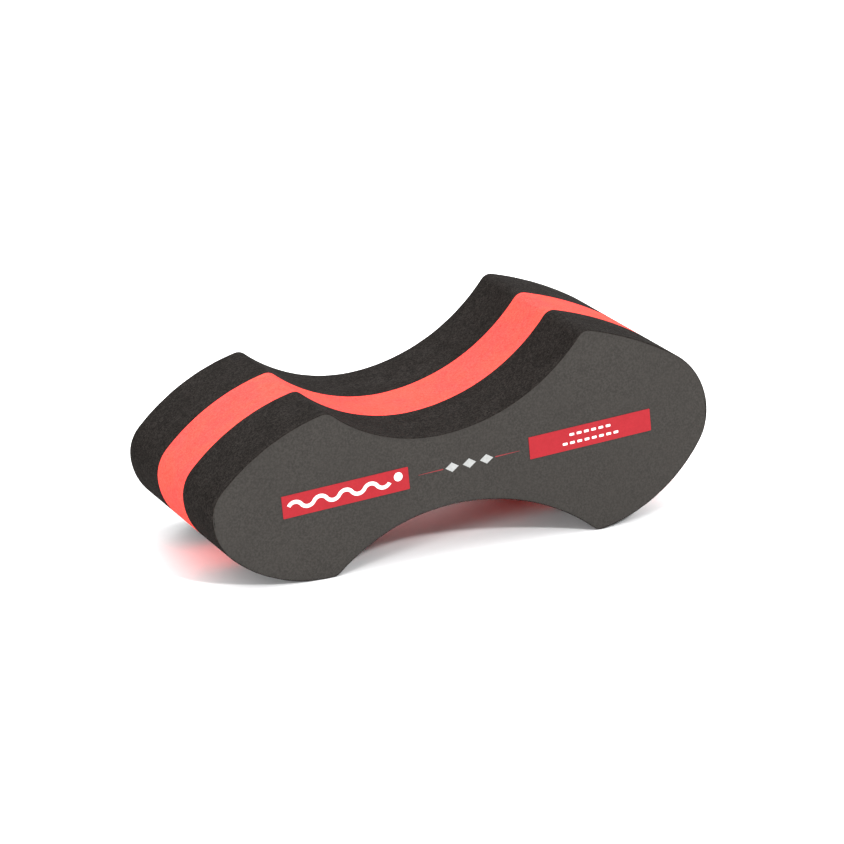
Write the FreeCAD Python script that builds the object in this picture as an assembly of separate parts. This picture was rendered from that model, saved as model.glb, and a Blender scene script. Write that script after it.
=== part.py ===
import FreeCAD, Part
import math
import os
from collections import namedtuple

# Pull buoy: a swimmer's leg float cut as one hourglass block from three laminated sheets of
# closed-cell EVA foam, black outside and coral in the middle, with its front face printed.
#
# Millimetres. +X runs along the length towards the large lobe, +Y runs from the front face to the
# rear face, +Z is up. The float stands on the two lower corners of its waist, as it rests on a
# pool deck, and the origin is on the deck under the middle of the float.
#
# The outline is drawn first in its own level frame: the long axis is z = 0 there, and x = 0 lies
# near the waist. rest_placement then tips that frame until both lower corners touch the deck.

# ---- Block ----
small_end_x = -118.3  # tip of the small lobe
large_end_x = 168.2  # tip of the large lobe
waist_x = 14.4  # where the waist is thinnest
corner_radius = 6.5  # softened edge between each lobe and the waist

# One half of the outline, above or below the long axis. Sweeps are in degrees. The block is cut by
# hand along a template, so the two halves differ a little.
HalfOutline = namedtuple(
    "HalfOutline",
    [
        "waist_half",  # long axis to the bottom of the waist curve
        "small_waist_radius",  # waist curve on the small lobe's side
        "small_side_radius",  # back of the small lobe, from the corner to the tip's arc
        "small_nose_radius",  # arc round the tip of the small lobe
        "small_nose_sweep",  # how far that arc turns away from the long axis
        "large_waist_radius",
        "large_side_radius",
        "large_nose_radius",
        "large_nose_sweep",
    ],
)
upper = HalfOutline(19.0, 89.5, 117.6, 21.3, 47.4, 110.1, 185.9, 39.8, 54.9)
lower = HalfOutline(21.2, 105.8, 76.6, 32.9, 46.0, 118.0, 87.9, 33.7, 35.8)

# ---- Sheets of foam, front to rear ----
front_thickness = 43.0
middle_thickness = 37.5
rear_thickness = 43.0
glue_thickness = 0.15  # contact adhesive between two sheets
glue_inset = 0.8  # the adhesive stops short of the cut edge

# ---- Print on the front face ----
film_thickness = 0.3  # transfer film of the two labels
ink_thickness = 0.15  # screen ink
print_x = 27.1  # middle of the printed layout
print_z = -0.45  # the layout's height over the long axis

lozenge_count = 3  # the centre mark is a row of lozenges
lozenge_length = 7.8
lozenge_height = 5.4
lozenge_gap = 2.2

hairline_gap = 1.2  # centre mark to the near end of each red line
hairline_length = 14.2
hairline_near_height = 0.7
hairline_far_height = 0.2

label_gap = 5.6  # far end of each line to the label beyond it
label_length = 71.8
label_height = 12.4
label_corner_radius = 0.5
label_margin = 3.5  # bare film at each end of a label

badge_radius = 2.5  # round dot at the inner end of the small end's label
badge_rise = 2.0  # the dot sits above the middle of the label
badge_gap = 2.6  # wave to dot
wave_count = 4  # full swells of the wave on the small end's label
wave_width = 2.2
wave_sweep = 56.0  # half angle of each arc of the wave

dash_row_counts = (6, 8)  # dashes on the large end's label, upper row and lower row
dash_length = 2.9
dash_gap = 1.4
dash_height = 1.5
dash_row_gap = 3.1

# ---- Worked out from the sizes above ----
total_depth = front_thickness + middle_thickness + rear_thickness + 2 * glue_thickness
front_face_y = -total_depth / 2
mark_half_length = (lozenge_count * lozenge_length + (lozenge_count - 1) * lozenge_gap) / 2
hairline_start = mark_half_length + hairline_gap
label_inset = hairline_start + hairline_length + label_gap


def vec(x, z, y=0.0):
    return FreeCAD.Vector(x, y, z)


def direction(degrees):
    """Unit vector in the outline's plane, measured from +X towards +Z."""
    return vec(math.cos(math.radians(degrees)), math.sin(math.radians(degrees)))


def arc_about(centre, start, end):
    """The shorter arc about a centre, from start to end."""
    radius = (start - centre).Length
    middle = (start - centre) + (end - centre)
    middle.normalize()
    return Part.Arc(start, centre + middle * radius, end).toShape()


def corner_centre(waist_centre, waist_radius, side_centre, side_radius, side):
    """Centre of the corner arc, which touches the waist curve and the back of the lobe."""
    from_waist = waist_radius + corner_radius
    from_back = side_radius - corner_radius
    line = side_centre - waist_centre
    span = line.Length
    line.normalize()
    along = (from_waist**2 - from_back**2 + span**2) / (2 * span)
    across = math.sqrt(from_waist**2 - along**2)
    outwards = vec(-line.z, line.x)
    if outwards.x * side < 0:
        outwards = outwards * -1
    return waist_centre + line * along + outwards * across


def on_circle(centre, radius, towards):
    ray = towards - centre
    ray.normalize()
    return centre + ray * radius


def lobe(waist_half, side, end_x, waist_radius, side_radius, nose_radius, nose_sweep):
    """Centres and joins of one lobe's quarter of the outline. side is -1 at the small end."""
    waist_centre = vec(waist_x, waist_half + waist_radius)
    nose_centre = vec(end_x - side * nose_radius, 0)
    turn = math.radians(nose_sweep)
    outwards = vec(side * math.cos(turn), math.sin(turn))
    nose_join = nose_centre + outwards * nose_radius
    side_centre = nose_join - outwards * side_radius
    corner = corner_centre(waist_centre, waist_radius, side_centre, side_radius, side)
    return {
        "waist_low": vec(waist_x, waist_half),
        "waist_centre": waist_centre,
        "waist_end": on_circle(waist_centre, waist_radius, corner),
        "corner": corner,
        "side_start": on_circle(side_centre, side_radius, corner),
        "side_centre": side_centre,
        "nose_join": nose_join,
        "nose_centre": nose_centre,
        "tip": vec(end_x, 0),
    }


def small_lobe(half):
    return lobe(
        half.waist_half,
        -1,
        small_end_x,
        half.small_waist_radius,
        half.small_side_radius,
        half.small_nose_radius,
        half.small_nose_sweep,
    )


def large_lobe(half):
    return lobe(
        half.waist_half,
        1,
        large_end_x,
        half.large_waist_radius,
        half.large_side_radius,
        half.large_nose_radius,
        half.large_nose_sweep,
    )


def lobe_edges(lobe):
    return [
        arc_about(lobe["waist_centre"], lobe["waist_low"], lobe["waist_end"]),
        arc_about(lobe["corner"], lobe["waist_end"], lobe["side_start"]),
        arc_about(lobe["side_centre"], lobe["side_start"], lobe["nose_join"]),
        arc_about(lobe["nose_centre"], lobe["nose_join"], lobe["tip"]),
    ]


def half_edges(half):
    """Edges of a half outline, drawn above the long axis."""
    return lobe_edges(small_lobe(half)) + lobe_edges(large_lobe(half))


def block_outline():
    below = [edge.mirror(vec(0, 0), vec(0, 1)) for edge in half_edges(lower)]
    edges = Part.sortEdges(half_edges(upper) + below)[0]
    return Part.Face(Part.Wire(edges))


def rest_placement(outline):
    """Tips the level outline onto its two lower corners and puts the origin under its middle."""
    small_corner = small_lobe(lower)["corner"]
    large_corner = large_lobe(lower)["corner"]
    drop = large_corner.z - small_corner.z
    lean = math.degrees(math.atan2(drop, large_corner.x - small_corner.x))
    tip = FreeCAD.Placement(vec(0, 0), FreeCAD.Rotation(FreeCAD.Vector(0, -1, 0), lean))
    box = outline.transformGeometry(tip.toMatrix()).optimalBoundingBox(False)
    shift = vec(-(box.XMin + box.XMax) / 2, -box.ZMin)
    return FreeCAD.Placement(shift, tip.Rotation)


def sheet(face, start_y, thickness):
    """A flat piece of the face's outline, from start_y towards the rear."""
    solid = face.extrude(FreeCAD.Vector(0, thickness, 0))
    solid.translate(FreeCAD.Vector(0, start_y, 0))
    return solid


def polygon(points):
    return Part.Face(Part.makePolygon(points + [points[0]]))


def rounded_rectangle(centre, length, height, radius):
    corners = [(1, 1), (-1, 1), (-1, -1), (1, -1)]
    flat_x = length / 2 - radius
    flat_z = height / 2 - radius
    edges = []
    for index, (sx, sz) in enumerate(corners):
        middle = centre + vec(sx * flat_x, sz * flat_z)
        start = 90 * index
        ends = [middle + direction(start + turn) * radius for turn in (0, 45, 90)]
        edges.append(Part.Arc(*ends).toShape())
        next_x, next_z = corners[(index + 1) % 4]
        next_start = centre + vec(next_x * flat_x, next_z * flat_z) + direction(start + 90) * radius
        edges.append(Part.LineSegment(ends[2], next_start).toShape())
    return Part.Face(Part.Wire(Part.sortEdges(edges)[0]))


def label_centre(side):
    return vec(print_x + side * (label_inset + label_length / 2), print_z)


def label_outline(side):
    return rounded_rectangle(label_centre(side), label_length, label_height, label_corner_radius)


def badge_centre():
    return label_centre(-1) + vec(label_length / 2 - label_margin - badge_radius, badge_rise)


def wave_outline():
    """A ribbon of alternate arcs, as water is drawn on a chart. It fills the label up to the dot."""
    start_x = label_centre(-1).x - label_length / 2 + label_margin
    end_x = badge_centre().x - badge_radius - badge_gap
    half_pitch = (end_x - start_x) / (2 * wave_count)
    sweep = math.radians(wave_sweep)
    radius = half_pitch / 2 / math.sin(sweep)
    depth = radius * math.cos(sweep)
    arches = []
    for index in range(2 * wave_count):
        up = 1 if index % 2 == 0 else -1
        centre = vec(start_x + half_pitch * (index + 0.5), print_z - up * depth)
        rays = [direction(90 * up + turn) for turn in (wave_sweep, 0, -wave_sweep)]
        outer = [centre + ray * (radius + wave_width / 2) for ray in rays]
        inner = [centre + ray * (radius - wave_width / 2) for ray in rays]
        edges = [
            Part.Arc(*outer).toShape(),
            Part.LineSegment(outer[2], inner[2]).toShape(),
            Part.Arc(*inner).toShape(),
            Part.LineSegment(inner[0], outer[0]).toShape(),
        ]
        arches.append(Part.Face(Part.Wire(Part.sortEdges(edges)[0])))
    return arches[0].multiFuse(arches[1:]).removeSplitter().Faces[0]


def badge_outline():
    circle = Part.Circle(badge_centre(), FreeCAD.Vector(0, 1, 0), badge_radius)
    return Part.Face(Part.Wire(circle.toShape()))


def row_offset(index, count, pitch):
    return (index - (count - 1) / 2) * pitch


def dash_outlines():
    """Two centred rows of short dashes."""
    outlines = []
    rows = len(dash_row_counts)
    for row, count in enumerate(dash_row_counts):
        height = -row_offset(row, rows, dash_height + dash_row_gap)
        for index in range(count):
            along = row_offset(index, count, dash_length + dash_gap)
            centre = label_centre(1) + vec(along, height)
            outlines.append(rounded_rectangle(centre, dash_length, dash_height, dash_height / 3))
    return outlines


def lozenge_outlines():
    half_x = vec(lozenge_length / 2, 0)
    half_z = vec(0, lozenge_height / 2)
    outlines = []
    for index in range(lozenge_count):
        along = row_offset(index, lozenge_count, lozenge_length + lozenge_gap)
        centre = vec(print_x + along, print_z)
        outlines.append(polygon([centre + half_x, centre + half_z, centre - half_x, centre - half_z]))
    return outlines


def hairline_outline(side):
    near_x = print_x + side * hairline_start
    far_x = near_x + side * hairline_length
    near = hairline_near_height / 2
    far = hairline_far_height / 2
    return polygon(
        [
            vec(near_x, print_z - near),
            vec(near_x, print_z + near),
            vec(far_x, print_z + far),
            vec(far_x, print_z - far),
        ]
    )


def foam_nodes(outline):
    glue_outline = outline.makeOffset2D(-glue_inset)
    layers = [
        ("front_slab", outline, front_thickness),
        ("front_glue_film", glue_outline, glue_thickness),
        ("middle_slab", outline, middle_thickness),
        ("rear_glue_film", glue_outline, glue_thickness),
        ("rear_slab", outline, rear_thickness),
    ]
    nodes = {}
    start_y = front_face_y
    for name, face, thickness in layers:
        nodes[name] = sheet(face, start_y, thickness)
        start_y += thickness
    return nodes


def print_nodes():
    film_y = front_face_y - film_thickness
    ink_on_film_y = film_y - ink_thickness
    ink_on_foam_y = front_face_y - ink_thickness
    dashes = [sheet(face, ink_on_film_y, ink_thickness) for face in dash_outlines()]
    lozenges = [sheet(face, ink_on_foam_y, ink_thickness) for face in lozenge_outlines()]
    return {
        "small_end_label": sheet(label_outline(-1), film_y, film_thickness),
        "large_end_label": sheet(label_outline(1), film_y, film_thickness),
        "label_wave_print": sheet(wave_outline(), ink_on_film_y, ink_thickness),
        "label_badge_print": sheet(badge_outline(), ink_on_film_y, ink_thickness),
        "label_dash_print": Part.makeCompound(dashes),
        "centre_mark_print": Part.makeCompound(lozenges),
        "small_end_hairline": sheet(hairline_outline(-1), ink_on_foam_y, ink_thickness),
        "large_end_hairline": sheet(hairline_outline(1), ink_on_foam_y, ink_thickness),
    }


outline = block_outline()
resting = rest_placement(outline)
nodes = foam_nodes(outline)
nodes.update(print_nodes())

os.makedirs("parts", exist_ok=True)
for name, shape in nodes.items():
    shape.Placement = resting.multiply(shape.Placement)
    shape.exportStep("parts/" + name + ".step")
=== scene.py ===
import math

import bmesh
import bpy
import numpy as np
from bpy.props import FloatProperty, FloatVectorProperty, PointerProperty
from mathutils import Matrix, Vector, noise


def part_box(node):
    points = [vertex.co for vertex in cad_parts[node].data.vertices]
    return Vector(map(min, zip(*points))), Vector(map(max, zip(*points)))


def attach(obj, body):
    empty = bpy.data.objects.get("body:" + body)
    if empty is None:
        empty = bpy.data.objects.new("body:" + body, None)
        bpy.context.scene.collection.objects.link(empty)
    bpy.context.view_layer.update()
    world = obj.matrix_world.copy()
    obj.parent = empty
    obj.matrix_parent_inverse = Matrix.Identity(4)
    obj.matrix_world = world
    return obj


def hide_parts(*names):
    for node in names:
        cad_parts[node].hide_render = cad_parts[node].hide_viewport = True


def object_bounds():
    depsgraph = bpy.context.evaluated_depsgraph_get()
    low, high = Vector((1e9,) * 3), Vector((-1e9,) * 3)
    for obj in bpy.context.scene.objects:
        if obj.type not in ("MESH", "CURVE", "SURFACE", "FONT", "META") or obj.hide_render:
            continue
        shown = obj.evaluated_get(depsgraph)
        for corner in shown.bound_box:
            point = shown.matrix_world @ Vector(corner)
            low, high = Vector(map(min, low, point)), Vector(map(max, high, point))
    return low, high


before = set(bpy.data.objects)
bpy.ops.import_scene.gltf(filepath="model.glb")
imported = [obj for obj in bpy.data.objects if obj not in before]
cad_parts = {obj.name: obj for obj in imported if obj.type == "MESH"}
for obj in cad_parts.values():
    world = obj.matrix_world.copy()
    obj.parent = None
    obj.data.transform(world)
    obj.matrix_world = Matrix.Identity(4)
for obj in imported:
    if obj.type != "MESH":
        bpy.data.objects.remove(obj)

bl_info = {
    "name": "Pull Buoy",
    "version": (1, 0, 0),
    "blender": (4, 5, 0),
    "location": "View3D > Sidebar > Pull Buoy",
    "description": "Builds a laminated foam pull buoy with its printed front face, and a stage for it",
    "category": "Object",
}

CAD_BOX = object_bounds()
BODY = "root"


# ---------------------------------------------------------------- settings


class FoamSettings(bpy.types.PropertyGroup):
    """Sizes and colours of the three foam sheets."""

    outer_edge: FloatProperty(
        name="Outer edge",
        description="Radius worn on the edges round the two outer faces",
        default=0.0006,
        min=0.0001,
        max=0.003,
        unit="LENGTH",
    )
    seam_edge: FloatProperty(
        name="Seam edge",
        description="Radius of the cut edge beside each glued seam",
        default=0.00012,
        min=0.00002,
        max=0.001,
        unit="LENGTH",
    )
    cut_wander: FloatProperty(
        name="Cut wander",
        description="Deepest that the cutting wire wanders into the block",
        default=0.00025,
        min=0.0,
        max=0.001,
        unit="LENGTH",
    )
    pore_size: FloatProperty(
        name="Pore size",
        description="Usual width of one cut cell of the foam",
        default=0.00055,
        min=0.0002,
        max=0.003,
        unit="LENGTH",
    )
    cut_black: FloatVectorProperty(
        name="Cut black",
        description="Black foam where its cells are cut open",
        subtype="COLOR",
        size=3,
        min=0.0,
        max=1.0,
        default=(0.0274, 0.0239, 0.0219),
    )
    face_grey: FloatVectorProperty(
        name="Face grey",
        description="Closed outer face of the black sheets",
        subtype="COLOR",
        size=3,
        min=0.0,
        max=1.0,
        default=(0.058, 0.0540, 0.050),
    )
    coral: FloatVectorProperty(
        name="Coral",
        description="Coral foam of the middle sheet",
        subtype="COLOR",
        size=3,
        min=0.0,
        max=1.0,
        default=(0.90, 0.110, 0.097),
    )
    coral_patch: FloatVectorProperty(
        name="Coral patch",
        description="Warmer patches in the coral foam",
        subtype="COLOR",
        size=3,
        min=0.0,
        max=1.0,
        default=(0.90, 0.120, 0.094),
    )


class PrintSettings(bpy.types.PropertyGroup):
    """Colours of the labels and inks."""

    label_red: FloatVectorProperty(
        name="Label red",
        description="Transfer film of the two labels",
        subtype="COLOR",
        size=3,
        min=0.0,
        max=1.0,
        default=(0.315, 0.028, 0.037),
    )
    line_red: FloatVectorProperty(
        name="Line red",
        description="Ink of the two thin lines",
        subtype="COLOR",
        size=3,
        min=0.0,
        max=1.0,
        default=(0.25, 0.055, 0.060),
    )
    ink_white: FloatVectorProperty(
        name="White ink",
        description="Ink printed on the labels",
        subtype="COLOR",
        size=3,
        min=0.0,
        max=1.0,
        default=(0.62, 0.61, 0.60),
    )
    ink_silver: FloatVectorProperty(
        name="Silver ink",
        description="Ink of the centre mark",
        subtype="COLOR",
        size=3,
        min=0.0,
        max=1.0,
        default=(0.345, 0.35, 0.345),
    )
    print_edge: FloatProperty(
        name="Print edge",
        description="Radius of the softened rim of films and inks",
        default=0.00006,
        min=0.00001,
        max=0.0003,
        unit="LENGTH",
    )


class StageSettings(bpy.types.PropertyGroup):
    """Floor, light and camera."""

    floor_colour: FloatVectorProperty(
        name="Floor colour",
        description="Pale studio floor",
        subtype="COLOR",
        size=3,
        min=0.0,
        max=1.0,
        default=(0.835, 0.837, 0.842),
    )
    sky_strength: FloatProperty(
        name="Sky strength",
        description="White light from overhead",
        default=1.4,
        min=0.0,
        max=3.0,
    )
    sky_horizon: FloatProperty(
        name="Sky horizon",
        description="Light from the horizon as a share of the light from straight above",
        default=0.62,
        min=0.0,
        max=1.0,
        subtype="FACTOR",
    )
    key_strength: FloatProperty(
        name="Key strength",
        description="Main head, at the right of the camera",
        default=1.85,
        min=0.0,
        max=20.0,
    )
    key_azimuth: FloatProperty(
        name="Key azimuth",
        description="Where the key head stands round the float, 0 facing the printed face",
        default=math.radians(14.0),
        subtype="ANGLE",
    )
    key_elevation: FloatProperty(
        name="Key elevation",
        description="Height of the key head over the horizon",
        default=math.radians(37.0),
        subtype="ANGLE",
    )
    key_spread: FloatProperty(
        name="Key spread",
        description="Width of the key head as the float sees it",
        default=math.radians(6.0),
        subtype="ANGLE",
    )
    side_strength: FloatProperty(
        name="Side strength",
        description="Low head, at the left of the camera",
        default=1.75,
        min=0.0,
        max=20.0,
    )
    side_azimuth: FloatProperty(
        name="Side azimuth",
        description="Where the side head stands round the float, 0 facing the printed face",
        default=math.radians(-54.0),
        subtype="ANGLE",
    )
    side_elevation: FloatProperty(
        name="Side elevation",
        description="Height of the side head over the horizon",
        default=math.radians(20.0),
        subtype="ANGLE",
    )
    side_spread: FloatProperty(
        name="Side spread",
        description="Width of the side head as the float sees it",
        default=math.radians(12.0),
        subtype="ANGLE",
    )
    back_strength: FloatProperty(
        name="Back strength",
        description="Broad head behind the float, which lights the floor under its arch",
        default=1.9,
        min=0.0,
        max=20.0,
    )
    back_azimuth: FloatProperty(
        name="Back azimuth",
        description="Where the back head stands round the float, 0 facing the printed face",
        default=math.radians(170.0),
        subtype="ANGLE",
    )
    back_elevation: FloatProperty(
        name="Back elevation",
        description="Height of the back head over the horizon",
        default=math.radians(23.0),
        subtype="ANGLE",
    )
    back_spread: FloatProperty(
        name="Back spread",
        description="Width of the back head as the float sees it",
        default=math.radians(30.0),
        subtype="ANGLE",
    )
    film_exposure: FloatProperty(
        name="Film exposure",
        description="Stops added to the finished picture",
        default=0.26,
        min=-5.0,
        max=5.0,
    )
    film_contrast: FloatProperty(
        name="Film contrast",
        description="Contrast of the finished picture, 1 leaving it alone",
        default=1.3,
        min=0.5,
        max=2.0,
    )
    lens: FloatProperty(
        name="Lens",
        description="Focal length on a 36 mm wide sensor, in millimetres",
        default=178.5,
        min=20.0,
        max=400.0,
        unit="CAMERA",
    )
    distance: FloatProperty(
        name="Camera distance",
        description="From the camera to the point it looks at",
        default=2.252,
        min=0.5,
        max=10.0,
        unit="LENGTH",
    )
    azimuth: FloatProperty(
        name="Azimuth",
        description="Turn of the camera round the float, 0 facing the printed face",
        default=math.radians(-23.289),
        subtype="ANGLE",
    )
    elevation: FloatProperty(
        name="Elevation",
        description="Height of the camera over the horizon",
        default=math.radians(18.154),
        subtype="ANGLE",
    )
    roll: FloatProperty(
        name="Roll",
        description="Lean of the camera about its own line of sight",
        default=math.radians(-1.818),
        subtype="ANGLE",
    )
    aim: FloatVectorProperty(
        name="Aim",
        description="Point that the camera looks at",
        subtype="XYZ",
        size=3,
        unit="LENGTH",
        default=(0.0025, 0.0, 0.0551),
    )


# ---------------------------------------------------------------- outlines from the frame


WELD = 1e-6  # corners nearer than this are one point
CURVE_STEPS = 12  # points drawn on each span of a smoothed outline
COLUMNS = 300  # steps along a slab's outline from tip to tip


def signed_area(points):
    """Area inside a closed (x, z) outline, positive when it runs anticlockwise."""
    following = np.roll(points, -1, axis=0)
    cross = points[:, 0] * following[:, 1] - following[:, 0] * points[:, 1]
    return cross.sum() / 2


def chain_edges(edges):
    """Closed loops of (x, z) points from the rim edges of a flat face."""
    neighbours = {}
    for edge in edges:
        first, second = edge.verts
        neighbours.setdefault(first, []).append(second)
        neighbours.setdefault(second, []).append(first)
    loops = []
    while neighbours:
        start = next(iter(neighbours))
        loop = [start]
        previous, current = None, start
        while True:
            onward = [v for v in neighbours[current] if v is not previous]
            previous, current = current, onward[0]
            if current is start:
                break
            loop.append(current)
        for vertex in loop:
            del neighbours[vertex]
        points = np.array([(v.co.x, v.co.z) for v in loop])
        loops.append(points if signed_area(points) > 0 else points[::-1])
    return loops


def front_loops(node):
    """Outlines of a CAD node's front face, anticlockwise as seen from the front."""
    front_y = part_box(node)[0].y
    mesh = bmesh.new()
    mesh.from_mesh(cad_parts[node].data)
    bmesh.ops.remove_doubles(mesh, verts=mesh.verts, dist=WELD)
    flat = {f for f in mesh.faces if all(abs(v.co.y - front_y) < WELD for v in f.verts)}
    rim = [e for e in mesh.edges if sum(f in flat for f in e.link_faces) == 1]
    loops = chain_edges(rim)
    mesh.free()
    return loops


def smooth_through(points):
    """A closed centripetal Catmull-Rom curve through the points."""
    p0 = np.roll(points, 1, axis=0)
    p1 = points
    p2 = np.roll(points, -1, axis=0)
    p3 = np.roll(points, -2, axis=0)
    t1 = np.sqrt(np.linalg.norm(p1 - p0, axis=1))[:, None]
    t2 = t1 + np.sqrt(np.linalg.norm(p2 - p1, axis=1))[:, None]
    t3 = t2 + np.sqrt(np.linalg.norm(p3 - p2, axis=1))[:, None]
    steps = []
    for share in np.arange(CURVE_STEPS) / CURVE_STEPS:
        t = t1 + (t2 - t1) * share
        a1 = p0 * (t1 - t) / t1 + p1 * t / t1
        a2 = p1 * (t2 - t) / (t2 - t1) + p2 * (t - t1) / (t2 - t1)
        a3 = p2 * (t3 - t) / (t3 - t2) + p3 * (t - t2) / (t3 - t2)
        b1 = a1 * (t2 - t) / t2 + a2 * t / t2
        b2 = a2 * (t3 - t) / (t3 - t1) + a3 * (t - t1) / (t3 - t1)
        steps.append(b1 * (t2 - t) / (t2 - t1) + b2 * (t - t1) / (t2 - t1))
    return np.stack(steps, axis=1).reshape(-1, 2)


def even_steps(points, count):
    """count + 1 points evenly spaced along an open line."""
    lengths = np.linalg.norm(np.diff(points, axis=0), axis=1)
    along = np.concatenate([[0.0], np.cumsum(lengths)])
    wanted = np.linspace(0.0, along[-1], count + 1)
    return np.stack([np.interp(wanted, along, points[:, k]) for k in (0, 1)], axis=1)


def slab_outline(node):
    """The node's outline as a closed ring: small tip, along the bottom, large tip, back on top."""
    curve = smooth_through(front_loops(node)[0])
    curve = np.roll(curve, -int(curve[:, 0].argmin()), axis=0)
    far = int(curve[:, 0].argmax())
    closed = np.vstack([curve, curve[:1]])
    bottom = even_steps(closed[: far + 1], COLUMNS)
    top = even_steps(closed[far:], COLUMNS)
    return np.vstack([bottom[:-1], top[:-1]])


def outward_normals(ring):
    """Unit normals of an anticlockwise ring."""
    along = np.roll(ring, -1, axis=0) - np.roll(ring, 1, axis=0)
    along /= np.linalg.norm(along, axis=1)[:, None]
    return np.stack([along[:, 1], -along[:, 0]], axis=1)


# ---------------------------------------------------------------- mesh building


SIDE_STEP = 0.0028  # width of the quads across a slab's cut side
CAP_ROWS = 16  # quads up a slab's flat face
EDGE_STEPS = 4  # quads round a softened edge
SUPPORT = 0.0005  # a ring this far inside each edge keeps the faces flat up to it
CUT, FRONT, REAR = 0, 1, 2  # where each stands in a slab's list of materials
SKIN_END = 0.3  # an edge has the face's finish down to this share of its inset
EDGE_LIGHT_SHARE = 1.0  # painted edge light on a softened edge: painted highlight on cut foam, painted shade on an outer face
NEAR_EDGE_LIGHT_SHARE = 0.3  # painted edge light on the rings beside it
RAGGED = 0.35  # most that an edge's radius differs from its usual value, as a share
RAGGED_LENGTH = 0.006  # along the edge, from wide to narrow
DRIFT_LENGTH, DRIFT_DEPTH = 0.045, 0.16  # slow wander of the cut, round the block and through it
SHIVER_LENGTH, SHIVER_DEPTH = 0.011, 0.09  # quick wander
SHIVER_SHIFT = 7.0  # keeps the two apart
RIM_MIDDLE = 0.3  # where a print's rim is halfway round, as a share of its radius


def quarter_round():
    """(inset, depth) points round a softened edge, as shares of its radius, from face to side."""
    turns = np.linspace(0.0, math.pi / 2, EDGE_STEPS + 1)
    return [(1 - math.sin(t), 1 - math.cos(t)) for t in turns]


def piece_from(name, vertices, faces, materials, face_materials=None, smooth=True):
    """A new object in the scene from its corners and faces."""
    mesh = bpy.data.meshes.new(name)
    mesh.from_pydata([tuple(v) for v in vertices], [], faces)
    for material in materials:
        mesh.materials.append(material)
    if face_materials is not None:
        mesh.polygons.foreach_set("material_index", face_materials)
    mesh.polygons.foreach_set("use_smooth", [smooth] * len(mesh.polygons))
    mesh.validate()
    mesh.update()
    piece = bpy.data.objects.new(name, mesh)
    bpy.context.scene.collection.objects.link(piece)
    return piece


class SlabMesh:
    """Collects the rings, the two caps and the painted edge light values of one foam slab."""

    def __init__(self, ring):
        self.ring = ring
        self.normals = outward_normals(ring)
        self.count = len(ring)
        self.vertices = []
        self.edge_light = []
        self.faces = []
        self.face_materials = []

    def add_ring(self, insets, depths, edge_light):
        """A ring this far inside the outline, at these depths along Y. Returns its first corner."""
        start = len(self.vertices)
        points = self.ring - self.normals * np.broadcast_to(insets, self.count)[:, None]
        depths = np.broadcast_to(depths, self.count)
        self.vertices += [(x, y, z) for (x, z), y in zip(points, depths)]
        self.edge_light += list(np.broadcast_to(edge_light, self.count))
        return start

    def join_rings(self, first, second, material):
        """Quads between two rings, facing outwards when the first is nearer the front."""
        for k in range(self.count):
            after = (k + 1) % self.count
            self.faces.append((first + k, second + k, second + after, first + after))
            self.face_materials.append(material)

    def close_cap(self, start, material, facing_front):
        """Fills a ring with columns of quads between its bottom and its top."""
        half = self.count // 2
        columns = []
        for k in range(1, half):
            low = start + k
            high = start + self.count - k
            bottom = np.array(self.vertices[low])
            top = np.array(self.vertices[high])
            column = [low]
            for row in range(1, CAP_ROWS):
                share = row / CAP_ROWS
                column.append(len(self.vertices))
                self.vertices.append(tuple(bottom + (top - bottom) * share))
                self.edge_light.append(0.0)
            column.append(high)
            columns.append(column)
        quads = []
        for left, right in zip(columns, columns[1:]):
            for row in range(CAP_ROWS):
                quads.append((left[row], right[row], right[row + 1], left[row + 1]))
        small_tip, large_tip = start, start + half
        for row in range(CAP_ROWS):
            quads.append((small_tip, columns[0][row], columns[0][row + 1]))
            quads.append((columns[-1][row], large_tip, columns[-1][row + 1]))
        for quad in quads:
            self.faces.append(quad if facing_front else quad[::-1])
            self.face_materials.append(material)


def ragged(ring, y):
    """Slow uneven factor round a ring, for an edge worn round unevenly."""
    length = RAGGED_LENGTH
    return np.array(
        [1 + RAGGED * noise.noise(Vector((x / length, y / length, z / length))) for x, z in ring]
    )


def wander(point, depth):
    """How far the cutting wire runs into the block at a point: never outwards."""
    x, y, z = point
    drift = noise.noise(Vector((x / DRIFT_LENGTH, y / DRIFT_DEPTH, z / DRIFT_LENGTH)))
    shiver_z = z / SHIVER_LENGTH + SHIVER_SHIFT
    shiver = noise.noise(Vector((x / SHIVER_LENGTH, y / SHIVER_DEPTH, shiver_z)))
    return depth * (0.5 + 0.38 * drift + 0.12 * shiver)


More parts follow.
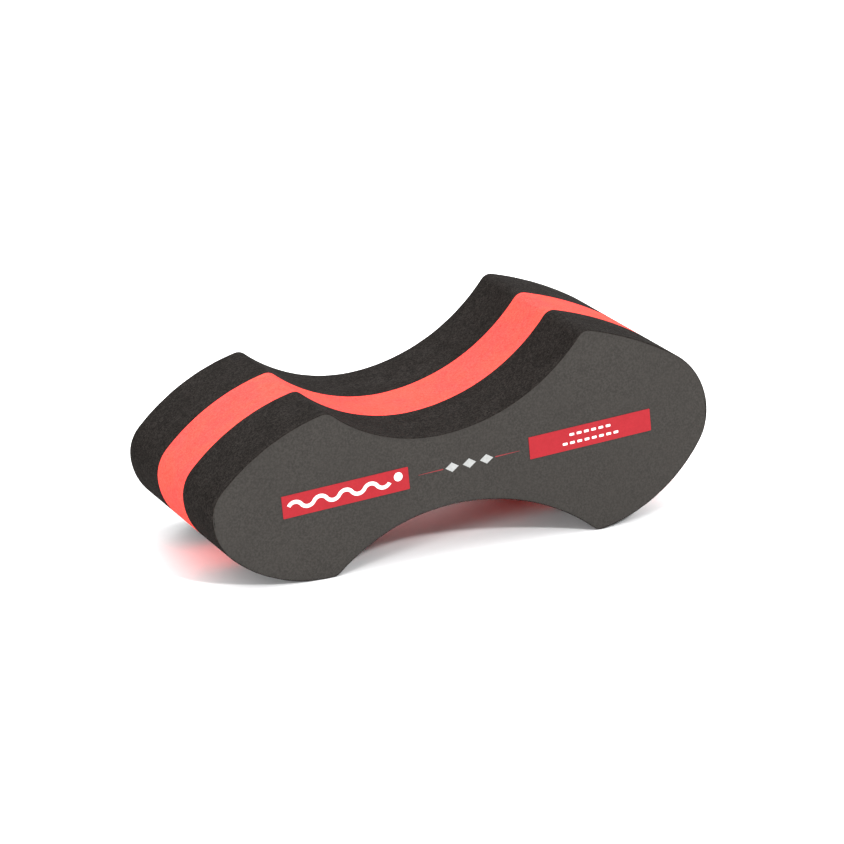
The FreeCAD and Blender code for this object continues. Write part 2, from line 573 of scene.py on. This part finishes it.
def build_slab(name, node, front_edge, rear_edge, foam, materials):
    """A foam slab in the place of a CAD slab. materials are (cut, front face, rear face)."""
    low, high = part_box(node)
    slab = SlabMesh(slab_outline(node))
    front_radius = front_edge * ragged(slab.ring, low.y)
    rear_radius = rear_edge * ragged(slab.ring, high.y)
    front_rim = slab.add_ring(front_radius + SUPPORT, low.y, NEAR_EDGE_LIGHT_SHARE)
    rings = [(front_rim, FRONT)]
    for inset, depth in quarter_round():
        start = slab.add_ring(front_radius * inset, low.y + front_radius * depth, EDGE_LIGHT_SHARE)
        rings.append((start, FRONT if inset > SKIN_END else CUT))
    side_start = low.y + 2 * front_edge + SUPPORT
    side_end = high.y - 2 * rear_edge - SUPPORT
    steps = max(2, round((side_end - side_start) / SIDE_STEP))
    for k in range(steps + 1):
        y = side_start + (side_end - side_start) * k / steps
        rings.append((slab.add_ring(0.0, y, NEAR_EDGE_LIGHT_SHARE if k in (0, steps) else 0.0), CUT))
    for inset, depth in reversed(quarter_round()):
        start = slab.add_ring(rear_radius * inset, high.y - rear_radius * depth, EDGE_LIGHT_SHARE)
        rings.append((start, REAR if inset > SKIN_END else CUT))
    rear_rim = slab.add_ring(rear_radius + SUPPORT, high.y, NEAR_EDGE_LIGHT_SHARE)
    rings.append((rear_rim, REAR))
    for (first, _), (second, material) in zip(rings, rings[1:]):
        slab.join_rings(first, second, material)
    slab.close_cap(front_rim, FRONT, True)
    slab.close_cap(rear_rim, REAR, False)

    count = slab.count
    vertices = np.array(slab.vertices)
    ring_vertices = len(rings) * count
    for k in range(ring_vertices):
        nx, nz = slab.normals[k % count]
        inwards = wander(vertices[k], foam.cut_wander)
        vertices[k, 0] -= nx * inwards
        vertices[k, 2] -= nz * inwards
    piece = piece_from(name, vertices, slab.faces, materials, slab.face_materials)
    # painted light per corner: share of the painted highlight on cut edges and of the painted shade on
    # face rims
    edge_light = piece.data.attributes.new("edge_wear", "FLOAT", "POINT")
    edge_light.data.foreach_set("value", np.array(slab.edge_light, np.float32))
    return piece


def build_print(name, node, edge, material):
    """A film or ink in the place of a flat CAD node, with a softened rim."""
    low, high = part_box(node)
    middle = edge * RIM_MIDDLE
    levels = ((edge, low.y), (middle, low.y + middle), (0.0, low.y + edge), (0.0, high.y))
    vertices = []
    faces = []
    for loop in front_loops(node):
        count = len(loop)
        normals = outward_normals(loop)
        starts = []
        for inset, y in levels:
            starts.append(len(vertices))
            vertices += [(x, y, z) for x, z in loop - normals * inset]
        faces.append(tuple(starts[0] + k for k in range(count)))
        faces.append(tuple(starts[-1] + k for k in reversed(range(count))))
        for first, second in zip(starts, starts[1:]):
            for k in range(count):
                after = (k + 1) % count
                faces.append((first + k, second + k, second + after, first + after))
    piece = piece_from(name, vertices, faces, [material], smooth=False)
    mesh = bmesh.new()
    mesh.from_mesh(piece.data)
    bmesh.ops.recalc_face_normals(mesh, faces=mesh.faces)
    bmesh.ops.triangulate(mesh, faces=[f for f in mesh.faces if len(f.verts) > 4])
    mesh.to_mesh(piece.data)
    mesh.free()
    return piece


# ---------------------------------------------------------------- materials


# Widths of the grain in metres
SKIN_GRAIN = 0.0011
SKIN_PEBBLE = 0.0009
SKIN_PATCH = 0.012
SKIN_CLOUD = 0.07
CROWDED_CELLS = 0.014
DYE_CLOUD = 0.02
FILM_PATCH = 0.009
FILM_SPECK = 0.0016
BRUSH_MARK = 0.004
PAPER_FIBRE = 0.004

# Heights of the relief in metres
SKIN_RELIEF = 0.00008
FILM_RELIEF = 0.00004
GLUE_RELIEF = 0.00005
PAPER_RELIEF = 0.00002

# Of the cut foam, as shares of its usual cell
COARSE_CELL = 1.7
BURST_CELL = 7.0
CELL_DEPTH = 0.22

BLACK_CLOUD = 1.06  # the black foam's lighter patches, against its own colour
GLUE_DARK = (0.20, 0.13, 0.06, 1.0)
GLUE_LIGHT = (0.38, 0.27, 0.14, 1.0)


def new_material(name):
    """An empty node material and its tree."""
    material = bpy.data.materials.new(name)
    material.use_nodes = True
    tree = material.node_tree
    tree.nodes.clear()
    return material, tree


def add(tree, kind, inputs=None, **settings):
    """A node with its settings made. An input takes a value or another node's socket."""
    node = tree.nodes.new("ShaderNode" + kind)
    for key, value in settings.items():
        setattr(node, key, value)
    for key, value in (inputs or {}).items():
        socket = node.inputs[key]
        if isinstance(value, bpy.types.NodeSocket):
            tree.links.new(value, socket)
        else:
            socket.default_value = value
    return node


def calc(tree, operation, first, second):
    return add(tree, "Math", {0: first, 1: second}, operation=operation).outputs[0]


def place(tree):
    """Position on the float in metres."""
    return add(tree, "TexCoord").outputs["Object"]


def noise_at(tree, where, size, detail=2.0, roughness=0.5):
    """Noise whose features are about one size wide, from 0 to 1."""
    inputs = {"Vector": where, "Scale": 1 / size, "Detail": detail, "Roughness": roughness}
    return add(tree, "TexNoise", inputs).outputs["Fac"]


def cells_at(tree, where, size, feature="F1"):
    """A cell pattern, one size from cell to cell."""
    return add(tree, "TexVoronoi", {"Vector": where, "Scale": 1 / size}, feature=feature)


def between(tree, value, low, high, out_low=0.0, out_high=1.0, smooth=True):
    """Maps low..high of a value to another range, held at both ends."""
    kind = "SMOOTHSTEP" if smooth else "LINEAR"
    inputs = {"Value": value, "From Min": low, "From Max": high, "To Min": out_low, "To Max": out_high}
    return add(tree, "MapRange", inputs, interpolation_type=kind).outputs["Result"]


def mix(tree, share, first, second, blend="MIX"):
    """Two colours blended, with share of the second."""
    node = add(tree, "Mix", data_type="RGBA", blend_type=blend)
    for key, value in ((0, share), (6, first), (7, second)):
        socket = node.inputs[key]
        if isinstance(value, bpy.types.NodeSocket):
            tree.links.new(value, socket)
        else:
            socket.default_value = value
    return node.outputs[2]


def shade(colour, factor):
    """A colour made lighter or darker, with full alpha."""
    return tuple(min(1.0, c * factor) for c in colour[:3]) + (1.0,)


def finish_surface(tree, colour, roughness, height, depth, **shader_values):
    """Ends a material: bump from a height of 0 to 1, and the shader."""
    bump = add(tree, "Bump", {"Height": height, "Distance": depth, "Strength": 1.0})
    inputs = {"Base Color": colour, "Roughness": roughness, "Normal": bump.outputs["Normal"]}
    shader = add(tree, "BsdfPrincipled", inputs)
    for key, value in shader_values.items():
        shader.inputs[key.replace("_", " ")].default_value = value
    add(tree, "OutputMaterial", {"Surface": shader.outputs["BSDF"]})


def edge_wear(tree):
    """Mask of painted edge light: 1 on a slab's softened edges, 0 away from them."""
    return add(tree, "Attribute", attribute_name="edge_wear").outputs["Fac"]


def times(tree, colour, factor):
    """A colour from a socket, made lighter or darker."""
    return mix(tree, 1.0, colour, (factor, factor, factor, 1.0), "MULTIPLY")


def cut_foam(name, colour, cloud_colour, pore_size, contrast):
    """Closed-cell foam cut through its cells. Each cell has its own tone, with painted shade in its
    hollow and in the larger burst pits, and a painted highlight along the softened edges.
    """
    material, tree = new_material(name)
    where = place(tree)
    small = cells_at(tree, where, pore_size)
    coarse = cells_at(tree, where, pore_size * COARSE_CELL)
    blister = cells_at(tree, where, pore_size * BURST_CELL)
    hollow = between(tree, small.outputs["Distance"], 0.10, 0.60)
    burst = between(tree, blister.outputs["Distance"], 0.13, 0.08)
    crowd = noise_at(tree, where, CROWDED_CELLS, 4.0, 0.55)
    cloud = noise_at(tree, where, DYE_CLOUD, 3.0, 0.6)
    coarse_tone = add(tree, "SeparateColor", {0: coarse.outputs["Color"]}).outputs["Red"]
    fine_tone = add(tree, "SeparateColor", {0: small.outputs["Color"]}).outputs["Green"]
    tone = between(tree, calc(tree, "ADD", coarse_tone, fine_tone), 0.35, 1.65, smooth=False)
    dyed = mix(tree, between(tree, cloud, 0.38, 0.62), shade(colour, 1.0), shade(cloud_colour, 1.0))
    base = mix(tree, tone, times(tree, dyed, 1 - 0.45 * contrast), times(tree, dyed, 1 + 0.62 * contrast))
    # painted shade: each cell's hollow darkened
    base = mix(tree, hollow, mix(tree, 0.55 * contrast, base, shade(colour, 0.2)), base)
    # painted shade: the larger burst pits darkened
    base = mix(tree, calc(tree, "MULTIPLY", burst, 0.5), base, shade(colour, 0.25))
    base = mix(tree, between(tree, crowd, 0.35, 0.7, 0.0, 0.16 * contrast), base, shade(colour, 0.6))
    # painted highlight: the cut foam lighter along its softened edges
    base = mix(tree, calc(tree, "MULTIPLY", edge_wear(tree), 0.2), base, shade(colour, 1.4))
    height = calc(tree, "MULTIPLY", hollow, calc(tree, "SUBTRACT", 1.0, burst))
    roughness = between(tree, crowd, 0.2, 0.8, 0.82, 0.95)
    finish_surface(tree, base, roughness, height, pore_size * CELL_DEPTH, Specular_IOR_Level=0.05)
    return material


def foam_face(name, colour):
    """Outer face of a sheet: a closed skin with a fine pebbled grain, and painted shade along its rounded
    rim.
    """
    material, tree = new_material(name)
    where = place(tree)
    grain = noise_at(tree, where, SKIN_GRAIN, 3.0, 0.6)
    pebble = cells_at(tree, where, SKIN_PEBBLE, "SMOOTH_F1").outputs["Distance"]
    patch = noise_at(tree, where, SKIN_PATCH, 4.0)
    cloud = noise_at(tree, where, SKIN_CLOUD, 2.0)
    base = mix(tree, between(tree, grain, 0.3, 0.7), shade(colour, 0.80), shade(colour, 1.16))
    base = mix(tree, between(tree, patch, 0.35, 0.7, 0.0, 0.3), base, shade(colour, 1.18))
    base = mix(tree, between(tree, cloud, 0.35, 0.7, 0.0, 0.3), base, shade(colour, 0.88))
    # painted shade: the outer face darker along its rounded rim
    base = mix(tree, calc(tree, "MULTIPLY", edge_wear(tree), 0.3), base, shade(colour, 0.7))
    height = calc(tree, "ADD", calc(tree, "MULTIPLY", grain, 0.6), calc(tree, "MULTIPLY", pebble, 0.4))
    roughness = between(tree, patch, 0.3, 0.7, 0.62, 0.78)
    finish_surface(tree, base, roughness, height, SKIN_RELIEF, Specular_IOR_Level=0.15)
    return material


def printed(name, colour, roughness_low, roughness_high, thin):
    """Film or ink that has sunk a little into the grain of the foam. thin lets the grain tint it."""
    material, tree = new_material(name)
    where = place(tree)
    grain = noise_at(tree, where, SKIN_GRAIN, 3.0, 0.6)
    patch = noise_at(tree, where, FILM_PATCH, 3.0)
    speck = cells_at(tree, where, FILM_SPECK).outputs["Distance"]
    worn = between(tree, grain, 0.3, 0.7, 0.0, thin)
    base = mix(tree, worn, shade(colour, 1.04), shade(colour, 0.72))
    base = mix(tree, between(tree, patch, 0.35, 0.7, 0.0, 0.25), base, shade(colour, 0.90))
    base = mix(tree, between(tree, speck, 0.10, 0.05, 0.0, 0.5), base, shade(colour, 0.6))
    roughness = between(tree, patch, 0.3, 0.7, roughness_low, roughness_high)
    finish_surface(tree, base, roughness, grain, FILM_RELIEF, Specular_IOR_Level=0.25)
    return material


def dried_glue():
    """Amber contact adhesive with brush marks."""
    material, tree = new_material("dried_contact_adhesive")
    where = place(tree)
    brushed = noise_at(tree, where, BRUSH_MARK, 4.0)
    base = mix(tree, between(tree, brushed, 0.3, 0.7), GLUE_DARK, GLUE_LIGHT)
    roughness = between(tree, brushed, 0.3, 0.7, 0.35, 0.6)
    finish_surface(tree, base, roughness, brushed, GLUE_RELIEF, Specular_IOR_Level=0.5)
    return material


def floor_paper(colour):
    """Matt backdrop paper."""
    material, tree = new_material("studio_paper")
    where = place(tree)
    fibre = noise_at(tree, where, PAPER_FIBRE, 3.0)
    base = mix(tree, between(tree, fibre, 0.3, 0.7), shade(colour, 0.995), shade(colour, 1.005))
    finish_surface(tree, base, 0.9, fibre, PAPER_RELIEF, Specular_IOR_Level=0.1)
    return material


# ---------------------------------------------------------------- operators


def seat(piece, slot, *nodes):
    """Rides a piece on the float and hides the CAD nodes it stands for. slot is not used."""
    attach(piece, BODY)
    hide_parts(*nodes)
    return piece


class PULLBUOY_OT_foam_slabs(bpy.types.Operator):
    """Build the three laminated foam slabs"""

    bl_idname = "pullbuoy.foam_slabs"
    bl_label = "Foam slabs"

    def execute(self, context):
        foam = context.scene.pullbuoy_foam
        black_cloud = shade(foam.cut_black, BLACK_CLOUD)
        black_cut = cut_foam("black_foam_cut", foam.cut_black, black_cloud, foam.pore_size, 1.0)
        coral_cut = cut_foam("coral_foam_cut", foam.coral, foam.coral_patch, foam.pore_size, 0.3)
        black_face = foam_face("black_foam_face", foam.face_grey)
        outer, seam = foam.outer_edge, foam.seam_edge
        plan = [
            ("front", outer, seam, (black_cut, black_face, black_cut), "black_foam"),
            ("middle", seam, seam, (coral_cut, coral_cut, coral_cut), "coral_foam"),
            ("rear", seam, outer, (black_cut, black_cut, black_face), "black_foam"),
        ]
        for sheet, front_edge, rear_edge, materials, slot in plan:
            node = sheet + "_slab"
            piece = build_slab(sheet + "_foam_slab", node, front_edge, rear_edge, foam, materials)
            seat(piece, slot, node)
        return {"FINISHED"}


class PULLBUOY_OT_glue_films(bpy.types.Operator):
    """Finish the two coats of adhesive between the slabs"""

    bl_idname = "pullbuoy.glue_films"
    bl_label = "Glue films"

    def execute(self, context):
        glue = dried_glue()
        for node in ("front_glue_film", "rear_glue_film"):
            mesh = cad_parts[node].data
            mesh.materials.clear()
            mesh.materials.append(glue)
        return {"FINISHED"}


class PULLBUOY_OT_labels(bpy.types.Operator):
    """Build the two red label films"""

    bl_idname = "pullbuoy.labels"
    bl_label = "Label films"

    def execute(self, context):
        inks = context.scene.pullbuoy_print
        film = printed("red_label_film", inks.label_red, 0.42, 0.55, 0.25)
        for end in ("small_end", "large_end"):
            piece = build_print(end + "_label_film", end + "_label", inks.print_edge, film)
            seat(piece, "red_film", end + "_label")
        return {"FINISHED"}


class PULLBUOY_OT_label_prints(bpy.types.Operator):
    """Build the white wave, dot and dashes on the labels"""

    bl_idname = "pullbuoy.label_prints"
    bl_label = "Label prints"

    def execute(self, context):
        inks = context.scene.pullbuoy_print
        white = printed("white_label_ink", inks.ink_white, 0.5, 0.62, 0.15)
        for kind in ("wave", "badge", "dash"):
            node = "label_" + kind + "_print"
            piece = build_print("white_" + kind + "_ink", node, inks.print_edge, white)
            seat(piece, "white_ink", node)
        return {"FINISHED"}


class PULLBUOY_OT_centre_print(bpy.types.Operator):
    """Build the silver lozenges and the thin red line on each side of them"""

    bl_idname = "pullbuoy.centre_print"
    bl_label = "Centre print"

    def execute(self, context):
        inks = context.scene.pullbuoy_print
        silver = printed("silver_ink", inks.ink_silver, 0.35, 0.5, 0.35)
        red = printed("red_line_ink", inks.line_red, 0.5, 0.65, 0.6)
        piece = build_print("silver_lozenge_ink", "centre_mark_print", inks.print_edge, silver)
        seat(piece, "silver_ink", "centre_mark_print")
        for end in ("small_end", "large_end"):
            piece = build_print(end + "_red_line", end + "_hairline", inks.print_edge, red)
            seat(piece, "red_ink", end + "_hairline")
        return {"FINISHED"}


FLOOR_REACH = 6.0  # from the float to the floor's edges
LAMP_DISTANCE = 3.0
SENSOR_WIDTH = 36.0
CLIP_START = 0.05
CLIP_END = 50.0


def aim_at(thing, stand, target, roll=0.0):
    """Stands a lamp or camera at a point, looking at the target."""
    forwards = (target - stand).normalized()
    turn = forwards.to_track_quat("-Z", "Y").to_matrix().to_4x4()
    thing.matrix_world = Matrix.Translation(stand) @ turn @ Matrix.Rotation(roll, 4, "Z")


def around(target, azimuth, elevation, distance):
    """A point seen from the target at an azimuth, 0 in front, and an elevation."""
    flat = math.cos(elevation)
    back = Vector((math.sin(azimuth) * flat, -math.cos(azimuth) * flat, math.sin(elevation)))
    return target + back * distance


def lamp(name, azimuth, elevation, strength, spread):
    """A far studio head, given by where it stands round the float. spread sets its shadow's edge."""
    light = bpy.data.lights.new(name, "SUN")
    light.energy = strength
    light.angle = spread
    head = bpy.data.objects.new(name, light)
    bpy.context.scene.collection.objects.link(head)
    centre = (CAD_BOX[0] + CAD_BOX[1]) / 2
    aim_at(head, around(centre, azimuth, elevation, LAMP_DISTANCE), centre)


class PULLBUOY_OT_stage(bpy.types.Operator):
    """Lay the floor, set the lights and place the camera"""

    bl_idname = "pullbuoy.stage"
    bl_label = "Stage"

    def execute(self, context):
        stage = context.scene.pullbuoy_stage
        self.lay_floor(stage)
        self.light(context.scene, stage)
        self.place_camera(context.scene, stage)
        return {"FINISHED"}

    def lay_floor(self, stage):
        corners = [
            (FLOOR_REACH * x, FLOOR_REACH * y, 0.0) for x, y in ((-1, -1), (1, -1), (1, 1), (-1, 1))
        ]
        floor = piece_from("studio_floor", corners, [(0, 1, 2, 3)], [floor_paper(stage.floor_colour)])

    def light(self, scene, stage):
        """A white sky, brightest overhead, and three heads."""
        world = bpy.data.worlds.new("studio_sky")
        world.use_nodes = True
        tree = world.node_tree
        tree.nodes.clear()
        height = add(tree, "SeparateXYZ", {0: add(tree, "TexCoord").outputs["Generated"]}).outputs["Z"]
        overhead = calc(tree, "MULTIPLY", height, height)
        share = between(tree, overhead, 0.0, 1.0, stage.sky_horizon, 1.0, smooth=False)
        strength = calc(tree, "MULTIPLY", share, stage.sky_strength)
        glow = add(tree, "Background", {"Color": (1.0, 1.0, 1.0, 1.0), "Strength": strength})
        add(tree, "OutputWorld", {"Surface": glow.outputs[0]})
        scene.world = world
        scene.view_settings.view_transform = "Standard"
        scene.view_settings.exposure = stage.film_exposure
        scene.view_settings.gamma = 1 / stage.film_contrast
        for head in ("key", "side", "back"):
            settings = ("azimuth", "elevation", "strength", "spread")
            lamp(head + "_head", *(getattr(stage, head + "_" + setting) for setting in settings))

    def place_camera(self, scene, stage):
        lens = bpy.data.cameras.new("studio_camera")
        lens.sensor_width = SENSOR_WIDTH
        lens.lens = stage.lens
        lens.clip_start = CLIP_START
        lens.clip_end = CLIP_END
        camera = bpy.data.objects.new("studio_camera", lens)
        scene.collection.objects.link(camera)
        target = Vector(stage.aim)
        start = around(target, stage.azimuth, stage.elevation, stage.distance)
        aim_at(camera, start, target, stage.roll)
        scene.camera = camera


OPERATORS = (
    PULLBUOY_OT_stage,
    PULLBUOY_OT_foam_slabs,
    PULLBUOY_OT_glue_films,
    PULLBUOY_OT_labels,
    PULLBUOY_OT_label_prints,
    PULLBUOY_OT_centre_print,
)


class PULLBUOY_PT_sidebar(bpy.types.Panel):
    """Lists the build steps and their settings"""

    bl_idname = "PULLBUOY_PT_sidebar"
    bl_label = "Pull buoy"
    bl_space_type = "VIEW_3D"
    bl_region_type = "UI"
    bl_category = "Pull Buoy"

    def draw(self, context):
        for operator in OPERATORS:
            self.layout.operator(operator.bl_idname)
        for title, settings in (
            ("Foam", context.scene.pullbuoy_foam),
            ("Print", context.scene.pullbuoy_print),
            ("Stage", context.scene.pullbuoy_stage),
        ):
            box = self.layout.box()
            box.label(text=title)
            for key in settings.__annotations__:
                box.prop(settings, key)


CLASSES = (FoamSettings, PrintSettings, StageSettings) + OPERATORS + (PULLBUOY_PT_sidebar,)


def register():
    for item in CLASSES:
        bpy.utils.register_class(item)
    bpy.types.Scene.pullbuoy_foam = PointerProperty(type=FoamSettings)
    bpy.types.Scene.pullbuoy_print = PointerProperty(type=PrintSettings)
    bpy.types.Scene.pullbuoy_stage = PointerProperty(type=StageSettings)


def unregister():
    del bpy.types.Scene.pullbuoy_stage
    del bpy.types.Scene.pullbuoy_print
    del bpy.types.Scene.pullbuoy_foam
    for item in reversed(CLASSES):
        bpy.utils.unregister_class(item)


def main():
    register()
    bpy.ops.pullbuoy.stage()
    bpy.ops.pullbuoy.foam_slabs()
    bpy.ops.pullbuoy.glue_films()
    bpy.ops.pullbuoy.labels()
    bpy.ops.pullbuoy.label_prints()
    bpy.ops.pullbuoy.centre_print()


if __name__ == "__main__":
    main()
